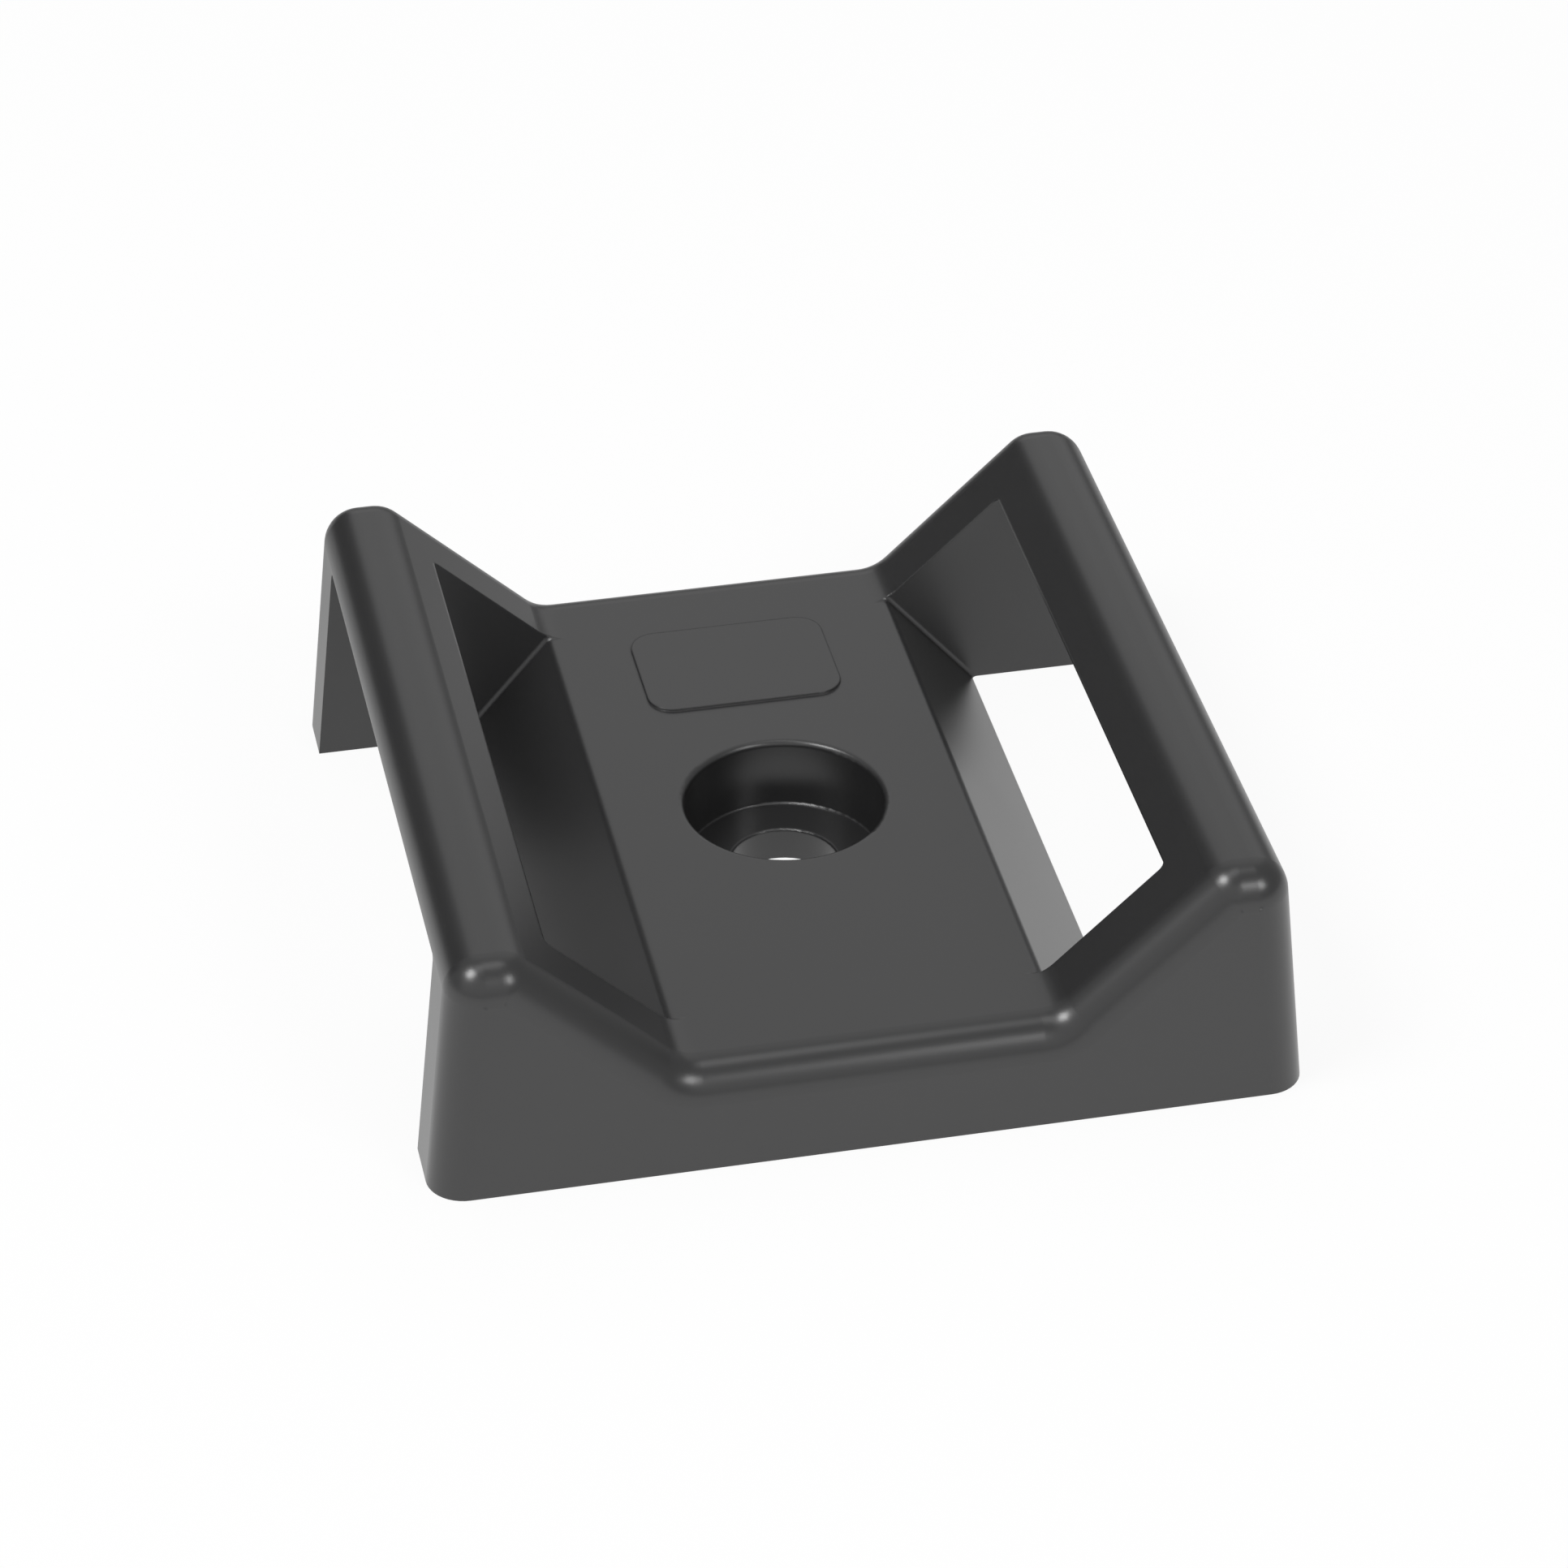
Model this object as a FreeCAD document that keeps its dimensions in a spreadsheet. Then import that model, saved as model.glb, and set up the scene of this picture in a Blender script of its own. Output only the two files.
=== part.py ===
import FreeCAD, Part
import os
import Sketcher
from FreeCAD import Vector

# Screw-on cable tie mount, moulded in one piece. Two end walls with a cradle-shaped top carry
# a flat ridge bar on each side. A cable tie goes in under one bar, up a ramp, over the deck with
# the screw hole in it, down the other ramp and out under the other bar. The windows that it comes
# through lie in the sloping sides of the cradle.
#
# The frame: Z up, X across the cradle, along the way the tie runs, and Y along the bars, which is
# the way the cables lie. The origin is on the floor, under the middle of the screw hole.

# Driving sizes: name, value, what it is. Lengths in millimetres, angles in degrees.
SIZES = [
    ("width", 38.1, "across the cradle at the floor"),
    ("depth", 37.8, "over the two end walls"),
    ("height", 11.55, "floor to the flat of the ridges"),
    ("side_lean", 6.0, "how far the outer sides lean in"),
    ("ridge_width", 2.84, "the ridges' flat tops, from bend to bend"),
    ("bar_thickness", 1.6, "the ridge bars, from underside to top"),
    ("end_wall", 3.9, "the end walls' thickness at the floor"),
    ("inner_draft", 0.5, "how far the end walls' inner faces lean in"),
    ("deck_height", 5.0, "floor to the deck"),
    ("deck_width", 16.1, "the deck, from bend to bend"),
    ("ramp_run", 4.25, "how far each ramp's foot stands out from the deck's edge"),
    ("outer_round", 1.65, "all outer edges"),
    ("valley_round", 1.75, "the hollow bend where slope meets deck"),
    ("ramp_round", 0.5, "the deck's edge above each ramp"),
    ("corner_round", 0.2, "the end walls' inner corners against the middle block"),
    ("bar_end_round", 0.25, "the inner corners where the bars' undersides meet the end walls"),
    ("bore_width", 8.95, "the recess for the screw's head"),
    ("hole_width", 4.9, "the screw's clearance hole"),
    ("seat_height", 1.6, "floor to the seat under the screw's head"),
    ("rim_round", 0.26, "the recess's upper edge"),
    ("seat_round", 0.1, "the recess's lower corner"),
    ("hole_round", 0.1, "the clearance hole's upper edge"),
    ("pad_width", 9.0, "the blank raised pad, along X"),
    ("pad_length", 6.4, "the blank raised pad, along Y"),
    ("pad_relief", 0.12, "how far the pad stands above the deck"),
    ("pad_round", 1.2, "the pad's corners"),
]

# Places worked out from the sizes, each on the side of +X or +Y. The other side mirrors it.
FLOOR_SIDE = "sizes.width / 2"
RIDGE_SIDE = "(sizes.width / 2 - sizes.height * tan(sizes.side_lean))"
MOUTH_SIDE = f"({RIDGE_SIDE} - sizes.ridge_width)"
DECK_SIDE = "sizes.deck_width / 2"
RAMP_FOOT = "sizes.deck_width / 2 + sizes.ramp_run"
END_FACE = "sizes.depth / 2"
CHANNEL_END = "sizes.depth / 2 - sizes.end_wall"
CHANNEL_HEIGHT = "(sizes.height - sizes.bar_thickness)"
CHANNEL_TOP_END = f"{CHANNEL_END} - {CHANNEL_HEIGHT} * tan(sizes.inner_draft)"
HOLE_WALL = "sizes.hole_width / 2"
BORE_WALL = "sizes.bore_width / 2"
HALF_PAD = "sizes.pad_width / 2"

# The pad lies midway along the flat stretch of deck behind the recess.
DECK_FRONT = "(sizes.bore_width / 2 + sizes.rim_round)"
DECK_BACK = "(sizes.depth / 2 - sizes.outer_round)"
PAD_FRONT = f"({DECK_FRONT} + {DECK_BACK} - sizes.pad_length) / 2"
PAD_BACK = f"({DECK_FRONT} + {DECK_BACK} + sizes.pad_length) / 2"

# The outer rounding is held back where its two bends would use up a ridge's flat top.
FLAT_LEFT = 0.1
SLOPE = f"atan((sizes.height - sizes.deck_height) / ({MOUTH_SIDE} - {DECK_SIDE}))"
BENDS_PER_RADIUS = f"(tan((90 - sizes.side_lean) / 2) + tan({SLOPE} / 2))"
OUTER_ROUND = f"min(sizes.outer_round; {1 - FLAT_LEFT} * sizes.ridge_width / {BENDS_PER_RADIUS})"

NODE = "tie_mount"
FIND_TOLERANCE = 0.01


def make_sheet(doc):
    """The spreadsheet that every sketch and feature reads its sizes from."""
    sheet = doc.addObject("Spreadsheet::Sheet", "sizes")
    for row, (name, value, note) in enumerate(SIZES, start=1):
        sheet.set(f"A{row}", name)
        sheet.set(f"B{row}", str(value))
        sheet.set(f"C{row}", note)
        sheet.setAlias(f"B{row}", name)
    doc.recompute()
    return sheet


def worth(item, formula):
    """What a formula of the sheet's sizes comes to, asked of any object of the document."""
    return float(item.evalExpression(formula))


def point(item, x, y, z):
    """A point in space from three formulas."""
    return Vector(worth(item, x), worth(item, y), worth(item, z))


def mirrored(points, axes):
    """The points and their mirror images in the planes across the named axes."""
    for axis in axes:
        images = [Vector(spot) for spot in points]
        for image in images:
            setattr(image, axis, -getattr(image, axis))
        points = points + images
    return points


def new_sketch(body, name, role):
    """An empty sketch on one of the body's own origin planes, found by its role."""
    sketch = body.newObject("Sketcher::SketchObject", name)
    plane = next(item for item in body.Origin.OriginFeatures if item.Role == role)
    sketch.AttachmentSupport = [(plane, "")]
    sketch.MapMode = "FlatFace"
    return sketch


def bind(sketch, kind, refs, formula):
    """Adds one dimension to a sketch and ties it to the spreadsheet."""
    index = sketch.addConstraint(Sketcher.Constraint(kind, *refs, worth(sketch, formula)))
    sketch.setExpression(f"Constraints[{index}]", formula)


def closed_outline(sketch, corners):
    """Straight lines through corners given as two formulas each, and back to the first."""
    spots = [point(sketch, x, y, "0") for x, y in corners]
    lines = [
        sketch.addGeometry(Part.LineSegment(start, end), False)
        for start, end in zip(spots, spots[1:] + spots[:1])
    ]
    for line, following in zip(lines, lines[1:] + lines[:1]):
        sketch.addConstraint(Sketcher.Constraint("Coincident", line, 2, following, 1))
    return lines


def mirrored_outline(sketch, half):
    """A closed outline, the same on both sides of the sketch's upright axis.

    half lists the right-hand corners as two formulas each, where "0" as the second one keeps
    the corner on the level axis.
    """
    left = [(f"-({x})", y) for x, y in reversed(half)]
    lines = closed_outline(sketch, half + left)
    for line, partner, (x, y) in zip(lines, reversed(lines), half):
        sketch.addConstraint(Sketcher.Constraint("Symmetric", line, 1, partner, 1, -2))
        bind(sketch, "DistanceX", (-1, 1, line, 1), x)
        if y == "0":
            sketch.addConstraint(Sketcher.Constraint("PointOnObject", line, 1, -1))
        else:
            bind(sketch, "DistanceY", (-1, 1, line, 1), y)


def add_extrusion(body, kind, name, sketch, length_formula, both_ways=False):
    """Draws a sketch out to a pad or a pocket, on one side or evenly to both."""
    feature = body.newObject(f"PartDesign::{kind}", name)
    feature.Profile = sketch
    feature.Midplane = both_ways
    feature.setExpression("Length", length_formula)
    body.Document.recompute()
    return feature


def edges_through(feature, points):
    """Names of the feature's edges that pass through the given points."""
    names = []
    for spot in points:
        vertex = Part.Vertex(spot)
        found = [
            f"Edge{number}"
            for number, edge in enumerate(feature.Shape.Edges, start=1)
            if edge.distToShape(vertex)[0] < FIND_TOLERANCE
        ]
        if len(found) != 1:
            raise RuntimeError(f"{len(found)} edges of {feature.Name} pass through {spot}")
        names.extend(found)
    return names


def add_fillet(body, name, base, points, radius_formula):
    """Rounds the edges that pass through the given points."""
    rounding = body.newObject("PartDesign::Fillet", name)
    rounding.Base = (base, edges_through(base, points))
    rounding.setExpression("Radius", radius_formula)
    body.Document.recompute()
    return rounding


def make_channel(doc):
    """The space that the tie runs through, as a body of its own to be cut out of the mount.

    It reaches well past the mount's sides, and leaves out the middle block with its ramps.
    """
    body = doc.addObject("PartDesign::Body", "channel_space")
    end_view = new_sketch(body, "channel_end_view", "YZ_Plane")
    mirrored_outline(end_view, [(CHANNEL_END, "0"), (CHANNEL_TOP_END, CHANNEL_HEIGHT)])
    box = add_extrusion(body, "Pad", "channel_box", end_view, "2 * sizes.width", both_ways=True)
    bar_ends = mirrored([point(body, "0", CHANNEL_TOP_END, CHANNEL_HEIGHT)], "y")
    add_fillet(body, "bar_end_rounding", box, bar_ends, "sizes.bar_end_round")

    section = new_sketch(body, "middle_block_outline", "XZ_Plane")
    mirrored_outline(section, [(RAMP_FOOT, "0"), (DECK_SIDE, "sizes.deck_height")])
    block = add_extrusion(body, "Pocket", "middle_block", section, "sizes.depth", both_ways=True)

    deck_edges = mirrored([point(body, DECK_SIDE, "0", "sizes.deck_height")], "x")
    ramps = add_fillet(body, "ramp_rounding", block, deck_edges, "sizes.ramp_round")

    wall_at_deck = f"{CHANNEL_END} - sizes.deck_height * tan(sizes.inner_draft)"
    wall_edges = mirrored([point(body, "0", wall_at_deck, "sizes.deck_height")], "y")
    body.Tip = add_fillet(body, "corner_rounding", ramps, wall_edges, "sizes.corner_round")
    return body


def make_cradle(body):
    """The block with its hollow top and all its outer roundings, before anything is cut."""
    outline = new_sketch(body, "cradle_outline", "XZ_Plane")
    mirrored_outline(
        outline,
        [
            (FLOOR_SIDE, "0"),
            (RIDGE_SIDE, "sizes.height"),
            (MOUTH_SIDE, "sizes.height"),
            (DECK_SIDE, "sizes.deck_height"),
        ],
    )
    cradle = add_extrusion(body, "Pad", "cradle", outline, "sizes.depth", both_ways=True)
    valley_edges = mirrored([point(body, DECK_SIDE, "0", "sizes.deck_height")], "x")
    valleys = add_fillet(body, "valley_rounding", cradle, valley_edges, "sizes.valley_round")

    floor_side = point(body, FLOOR_SIDE, END_FACE, "0")
    ridge_side = point(body, RIDGE_SIDE, END_FACE, "sizes.height")
    mouth_side = point(body, MOUTH_SIDE, END_FACE, "sizes.height")
    deck_side = point(body, DECK_SIDE, END_FACE, "sizes.deck_height")
    profile = [floor_side, ridge_side, mouth_side, deck_side]
    around_ends = [(start + end) / 2 for start, end in zip(profile, profile[1:])]
    along_bars = [Vector(bend.x, 0, bend.z) for bend in (ridge_side, mouth_side)]
    across_deck = [Vector(0, deck_side.y, deck_side.z)]
    edges = mirrored(around_ends, "xy") + mirrored(along_bars, "x") + mirrored(across_deck, "y")
    return add_fillet(body, "outer_rounding", valleys, edges, OUTER_ROUND)


def cut_channel(body, channel):
    """Takes the tie's space out of the block."""
    cut = body.newObject("PartDesign::Boolean", "tie_channel")
    cut.Type = "Cut"
    cut.setObjects([channel])
    body.Document.recompute()


def add_screw_hole(body):
    """The clearance hole and the recess for the screw's head, turned about the upright axis."""
    section = new_sketch(body, "screw_hole_section", "XZ_Plane")
    lines = closed_outline(
        section,
        [
            ("0", "0"),
            (HOLE_WALL, "0"),
            (HOLE_WALL, "sizes.seat_height"),
            (BORE_WALL, "sizes.seat_height"),
            (BORE_WALL, "sizes.deck_height"),
            ("0", "sizes.deck_height"),
        ],
    )
    section.addConstraint(Sketcher.Constraint("Coincident", lines[0], 1, -1, 1))
    for level, upright in zip(lines[::2], lines[1::2]):
        section.addConstraint(Sketcher.Constraint("Horizontal", level))
        section.addConstraint(Sketcher.Constraint("Vertical", upright))
    bind(section, "DistanceX", (-1, 1, lines[1], 1), HOLE_WALL)
    bind(section, "DistanceY", (-1, 1, lines[2], 1), "sizes.seat_height")
    bind(section, "DistanceX", (-1, 1, lines[3], 1), BORE_WALL)
    bind(section, "DistanceY", (-1, 1, lines[4], 1), "sizes.deck_height")
    hole = body.newObject("PartDesign::Groove", "screw_hole")
    hole.Profile = section
    hole.ReferenceAxis = (section, ["V_Axis"])
    body.Document.recompute()

    rim = point(body, "0", BORE_WALL, "sizes.deck_height")
    corner = point(body, "0", BORE_WALL, "sizes.seat_height")
    edge = point(body, "0", HOLE_WALL, "sizes.seat_height")
    rounded = add_fillet(body, "rim_rounding", hole, [rim], "sizes.rim_round")
    rounded = add_fillet(body, "seat_rounding", rounded, [corner], "sizes.seat_round")
    return add_fillet(body, "hole_rounding", rounded, [edge], "sizes.hole_round")


def add_label_pad(body):
    """A blank raised pad on the deck behind the screw hole, with rounded corners."""
    outline = new_sketch(body, "label_pad_outline", "XY_Plane")
    outline.setExpression("AttachmentOffset.Base.z", "sizes.deck_height")
    mirrored_outline(outline, [(HALF_PAD, PAD_FRONT), (HALF_PAD, PAD_BACK)])
    pad = add_extrusion(body, "Pad", "label_pad", outline, "sizes.pad_relief")
    middle = "sizes.deck_height + sizes.pad_relief / 2"
    corners = mirrored([point(body, HALF_PAD, y, middle) for y in (PAD_FRONT, PAD_BACK)], "x")
    return add_fillet(body, "label_pad_rounding", pad, corners, "sizes.pad_round")


def make_mount(doc):
    """The mount: the cradle block, with the channel and the screw hole cut out of it."""
    body = doc.addObject("PartDesign::Body", NODE)
    body.Label = NODE
    make_cradle(body)
    cut_channel(body, make_channel(doc))
    add_screw_hole(body)
    body.Tip = add_label_pad(body)
    doc.recompute()
    return body


def check(doc, body):
    """Stops with a message if any object of the document failed or the solid isn't sound."""
    for item in doc.Objects:
        bad = {"Invalid", "Error"} & set(item.State)
        if bad:
            raise RuntimeError(f"{item.Name} is {', '.join(sorted(bad))}")
    shape = body.Shape
    if shape.isNull() or not shape.isValid() or len(shape.Solids) != 1:
        raise RuntimeError(f"{body.Label} is not one valid solid")


def main():
    doc = FreeCAD.newDocument("tie_mount")
    make_sheet(doc)
    mount = make_mount(doc)
    check(doc, mount)
    os.makedirs("parts", exist_ok=True)
    mount.Shape.exportStep(f"parts/{NODE}.step")
    box = mount.Shape.optimalBoundingBox(False, False)
    print(f"{NODE}: {box.XLength:.2f} x {box.YLength:.2f} x {box.ZLength:.2f} mm,", end=" ")
    print(f"{mount.Shape.Volume:.1f} cubic mm, {len(mount.Shape.Faces)} faces")


main()
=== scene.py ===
import math

import bpy
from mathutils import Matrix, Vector

# Cable tie mount, moulded in one piece of black plastic, seen on a white floor under soft studio
# light. Lengths are in metres. A place round the object is an azimuth, with 0 towards -Y and 90
# towards +X, and an elevation above the floor, in degrees.

# The camera: its place round the aim, its distance from it, and its lens and sensor in mm.
CAMERA_AZIMUTH = -11.9
CAMERA_ELEVATION = 35.06
CAMERA_DISTANCE = 0.2489
CAMERA_AIM = Vector((0.00055, 0.0027, 0.00388))
CAMERA_LENS = 126.6
CAMERA_SENSOR = 36.0
CAMERA_CLIP = 0.0025

# Lamps: name, azimuth, elevation, half width and half height in degrees as seen from the object,
# brightness. A brightness of 1 is as bright as the white floor.
LAMPS = [
    ("left_softbox", -73, 57, 9.8, 9.8, 9.2),
    ("front_softbox", 32.5, 40, 8, 9.1, 5.1),
    ("overhead_panel", 115, 89.3, 9, 15.5, 1.08),
    ("rear_panel", 165, 40, 26, 25, 0.275),
    ("front_panel", -27, 31, 45, 23, 0.28),
]
LAMP_DISTANCE = 0.6
WATTS_PER_AREA = 4.0

# Dark cards behind the object, which its slopes and back edges reflect: name, azimuth,
# elevation, half width and half height in degrees as seen from the object, shade.
CARDS = [
    ("side_card", -145, 15.5, 24, 16, 0.13),
    ("low_card", 165, 3.4, 33, 3.4, 0.03),
]
CARD_DISTANCE = 0.45

# How brightly the world lights the object and shows in reflections. Direct rays see white.
WORLD_LEVEL = 0.39
DIRECT_RAYS = ["Is Camera Ray", "Is Transmission Ray"]
REFLECTED_RAYS = ["Is Glossy Ray"]

# The floor lies a hair under the object. It shows as white, mixed with this much of its lit
# surface, so that the object's shadow stays.
FLOOR_SIZE = 6.0
FLOOR_DROP = 0.00002
FLOOR_COLOUR = (0.9, 0.9, 0.9, 1)
FLOOR_SHADOW = 0.1

# In reflections the floor darkens to the far level between these two places along Y.
FLOOR_FADE = (-0.024, 0.081)
FLOOR_FAR_LEVEL = 0.5

# The plastic: two close shades that cloud into each other, a gloss that varies a little with
# the clouds and the finer grain, the grain itself, left by the mould, and softened edges.
PLASTIC_SHADES = [(0.0185, 0.0185, 0.019, 1), (0.0215, 0.0215, 0.022, 1)]
PLASTIC_ROUGHNESS = (0.27, 0.31)
PLASTIC_IOR = 1.66
CLOUD_SIZE = 0.006
CLOUD_DETAIL = 3
GRAIN_SIZE = 0.00012
GRAIN_DETAIL = 2
GRAIN_DEPTH = 0.0000012
GRAIN_STRENGTH = 0.25
GRAIN_SHARE = 0.4
EDGE_ROUNDING = 0.00012


def direction(azimuth, elevation):
    """Unit vector from the object towards a place round it."""
    turn = math.radians(azimuth)
    rise = math.radians(elevation)
    return Vector(
        (math.sin(turn) * math.cos(rise), -math.cos(turn) * math.cos(rise), math.sin(rise))
    )


def facing_inwards(towards):
    """Rotation of a camera, lamp or card that lies in that direction and faces the object."""
    return (-towards).to_track_quat("-Z", "Y").to_euler()


def width_of(half_angle, distance):
    """Full width of something that is seen under twice the half angle at a distance."""
    return 2 * distance * math.tan(math.radians(half_angle))


def add_camera():
    """The camera at the photograph's viewing angle."""
    data = bpy.data.cameras.new("camera")
    data.sensor_width = CAMERA_SENSOR
    data.lens = CAMERA_LENS
    data.clip_start = CAMERA_CLIP
    camera = bpy.data.objects.new("camera", data)
    back = direction(CAMERA_AZIMUTH, CAMERA_ELEVATION)
    camera.location = CAMERA_AIM + back * CAMERA_DISTANCE
    camera.rotation_euler = facing_inwards(back)
    bpy.context.scene.collection.objects.link(camera)
    bpy.context.scene.camera = camera


def add_lamp(name, azimuth, elevation, half_width, half_height, brightness):
    """A soft rectangular lamp that faces the object."""
    data = bpy.data.lights.new(name, "AREA")
    data.shape = "RECTANGLE"
    data.size = width_of(half_width, LAMP_DISTANCE)
    data.size_y = width_of(half_height, LAMP_DISTANCE)
    data.energy = WATTS_PER_AREA * data.size * data.size_y * brightness
    lamp = bpy.data.objects.new(name, data)
    towards = direction(azimuth, elevation)
    lamp.location = towards * LAMP_DISTANCE
    lamp.rotation_euler = facing_inwards(towards)
    bpy.context.scene.collection.objects.link(lamp)


def flat_sheet(name, width, height, material):
    """A flat rectangle round its own origin, which isn't part of the object."""
    corners = [(-1, -1), (1, -1), (1, 1), (-1, 1)]
    mesh = bpy.data.meshes.new(name)
    mesh.from_pydata([(x * width / 2, y * height / 2, 0) for x, y in corners], [], [(0, 1, 2, 3)])
    mesh.materials.append(material)
    sheet = bpy.data.objects.new(name, mesh)
    bpy.context.scene.collection.objects.link(sheet)
    return sheet


def empty_material(name):
    """A material with nothing in it but its output. Returns it with its node tree and output."""
    material = bpy.data.materials.new(name)
    material.use_nodes = True
    tree = material.node_tree
    tree.nodes.clear()
    return material, tree, tree.nodes.new("ShaderNodeOutputMaterial")


def card_material(name, shade):
    """Matt grey of one shade."""
    material, tree, output = empty_material(name)
    matt = tree.nodes.new("ShaderNodeBsdfDiffuse")
    matt.inputs["Color"].default_value = (shade, shade, shade, 1)
    tree.links.new(matt.outputs[0], output.inputs["Surface"])
    return material


def add_card(name, azimuth, elevation, half_width, half_height, shade):
    """A card that faces the object. The camera doesn't see it."""
    width, height = (width_of(half, CARD_DISTANCE) for half in (half_width, half_height))
    card = flat_sheet(name, width, height, card_material(name, shade))
    towards = direction(azimuth, elevation)
    card.location = towards * CARD_DISTANCE
    card.rotation_euler = facing_inwards(towards)
    card.visible_camera = False


def larger_of(tree, first, second):
    """A node output that is the larger of two others."""
    larger = tree.nodes.new("ShaderNodeMath")
    larger.operation = "MAXIMUM"
    tree.links.new(first, larger.inputs[0])
    tree.links.new(second, larger.inputs[1])
    return larger.outputs[0]


def rays_of(tree, kinds):
    """A node output that is 1 for rays of the given kinds, and 0 for the rest."""
    path = tree.nodes.new("ShaderNodeLightPath")
    chosen = path.outputs[kinds[0]]
    for kind in kinds[1:]:
        chosen = larger_of(tree, chosen, path.outputs[kind])
    return chosen


def make_world():
    """Even pale light from all round, which the camera sees as white."""
    world = bpy.data.worlds.new("studio")
    world.use_nodes = True
    tree = world.node_tree
    background = tree.nodes["Background"]
    background.inputs["Color"].default_value = (1, 1, 1, 1)
    level = tree.nodes.new("ShaderNodeMapRange")
    level.inputs["To Min"].default_value = WORLD_LEVEL
    tree.links.new(rays_of(tree, DIRECT_RAYS), level.inputs["Value"])
    tree.links.new(level.outputs["Result"], background.inputs["Strength"])
    bpy.context.scene.world = world


def floor_in_reflections(tree):
    """How bright reflections of the floor are: less towards the back."""
    place = tree.nodes.new("ShaderNodeTexCoord")
    apart = tree.nodes.new("ShaderNodeSeparateXYZ")
    tree.links.new(place.outputs["Object"], apart.inputs[0])
    fade = tree.nodes.new("ShaderNodeMapRange")
    fade.interpolation_type = "SMOOTHSTEP"
    fade.inputs["From Min"].default_value, fade.inputs["From Max"].default_value = FLOOR_FADE
    fade.inputs["To Min"].default_value = 1
    fade.inputs["To Max"].default_value = FLOOR_FAR_LEVEL
    tree.links.new(apart.outputs["Y"], fade.inputs["Value"])
    return fade.outputs["Result"]


def add_floor():
    """A white floor just under the object, which keeps a faint shadow of it."""
    material, tree, output = empty_material("white_floor")
    matt = tree.nodes.new("ShaderNodeBsdfDiffuse")
    matt.inputs["Color"].default_value = FLOOR_COLOUR
    white = tree.nodes.new("ShaderNodeEmission")
    level = larger_of(tree, rays_of(tree, DIRECT_RAYS), floor_in_reflections(tree))
    tree.links.new(level, white.inputs["Strength"])
    shown = tree.nodes.new("ShaderNodeMixShader")
    shown.inputs["Fac"].default_value = FLOOR_SHADOW
    mix = tree.nodes.new("ShaderNodeMixShader")
    tree.links.new(white.outputs[0], shown.inputs[1])
    tree.links.new(matt.outputs[0], shown.inputs[2])
    tree.links.new(rays_of(tree, DIRECT_RAYS + REFLECTED_RAYS), mix.inputs["Fac"])
    tree.links.new(matt.outputs[0], mix.inputs[1])
    tree.links.new(shown.outputs[0], mix.inputs[2])
    tree.links.new(mix.outputs[0], output.inputs["Surface"])
    floor = flat_sheet("floor", FLOOR_SIZE, FLOOR_SIZE, material)
    floor.location.z = -FLOOR_DROP


def add_noise(tree, place, size, detail):
    """Noise fixed to the object, with features of about the given size."""
    noise = tree.nodes.new("ShaderNodeTexNoise")
    noise.inputs["Scale"].default_value = 1 / size
    noise.inputs["Detail"].default_value = detail
    tree.links.new(place, noise.inputs["Vector"])
    return noise.outputs["Fac"]


def colour_socket(sockets, name):
    """The colour socket of that name. A Mix node has one of each name for each kind of data."""
    return next(socket for socket in sockets if socket.name == name and socket.type == "RGBA")


def plastic_material():
    """Black moulded plastic: satin, slightly clouded, with a fine grain and softened edges."""
    material, tree, output = empty_material("black_plastic")
    place = tree.nodes.new("ShaderNodeTexCoord").outputs["Object"]
    clouds = add_noise(tree, place, CLOUD_SIZE, CLOUD_DETAIL)
    grain = add_noise(tree, place, GRAIN_SIZE, GRAIN_DETAIL)

    shades = tree.nodes.new("ShaderNodeMix")
    shades.data_type = "RGBA"
    tree.links.new(clouds, shades.inputs["Factor"])
    for name, shade in zip("AB", PLASTIC_SHADES):
        colour_socket(shades.inputs, name).default_value = shade

    uneven = tree.nodes.new("ShaderNodeMix")
    uneven.inputs["Factor"].default_value = GRAIN_SHARE
    tree.links.new(clouds, uneven.inputs["A"])
    tree.links.new(grain, uneven.inputs["B"])
    gloss = tree.nodes.new("ShaderNodeMapRange")
    gloss.inputs["To Min"].default_value, gloss.inputs["To Max"].default_value = PLASTIC_ROUGHNESS
    tree.links.new(uneven.outputs["Result"], gloss.inputs["Value"])

    edges = tree.nodes.new("ShaderNodeBevel")
    edges.inputs["Radius"].default_value = EDGE_ROUNDING
    bump = tree.nodes.new("ShaderNodeBump")
    bump.inputs["Strength"].default_value = GRAIN_STRENGTH
    bump.inputs["Distance"].default_value = GRAIN_DEPTH
    tree.links.new(grain, bump.inputs["Height"])
    tree.links.new(edges.outputs["Normal"], bump.inputs["Normal"])

    shader = tree.nodes.new("ShaderNodeBsdfPrincipled")
    shader.inputs["IOR"].default_value = PLASTIC_IOR
    tree.links.new(colour_socket(shades.outputs, "Result"), shader.inputs["Base Color"])
    tree.links.new(gloss.outputs["Result"], shader.inputs["Roughness"])
    tree.links.new(bump.outputs["Normal"], shader.inputs["Normal"])
    tree.links.new(shader.outputs[0], output.inputs["Surface"])
    return material


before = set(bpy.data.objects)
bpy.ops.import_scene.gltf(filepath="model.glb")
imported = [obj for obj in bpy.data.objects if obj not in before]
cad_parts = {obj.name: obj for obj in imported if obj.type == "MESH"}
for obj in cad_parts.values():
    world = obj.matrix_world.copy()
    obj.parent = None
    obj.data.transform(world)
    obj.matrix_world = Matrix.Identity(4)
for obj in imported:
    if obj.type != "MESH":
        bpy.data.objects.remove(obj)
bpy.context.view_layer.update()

bpy.context.scene.view_settings.view_transform = "Standard"
add_camera()
make_world()
add_floor()
for card in CARDS:
    add_card(*card)
for lamp in LAMPS:
    add_lamp(*lamp)

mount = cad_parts["tie_mount"]
mount.material_slots[0].material = plastic_material()
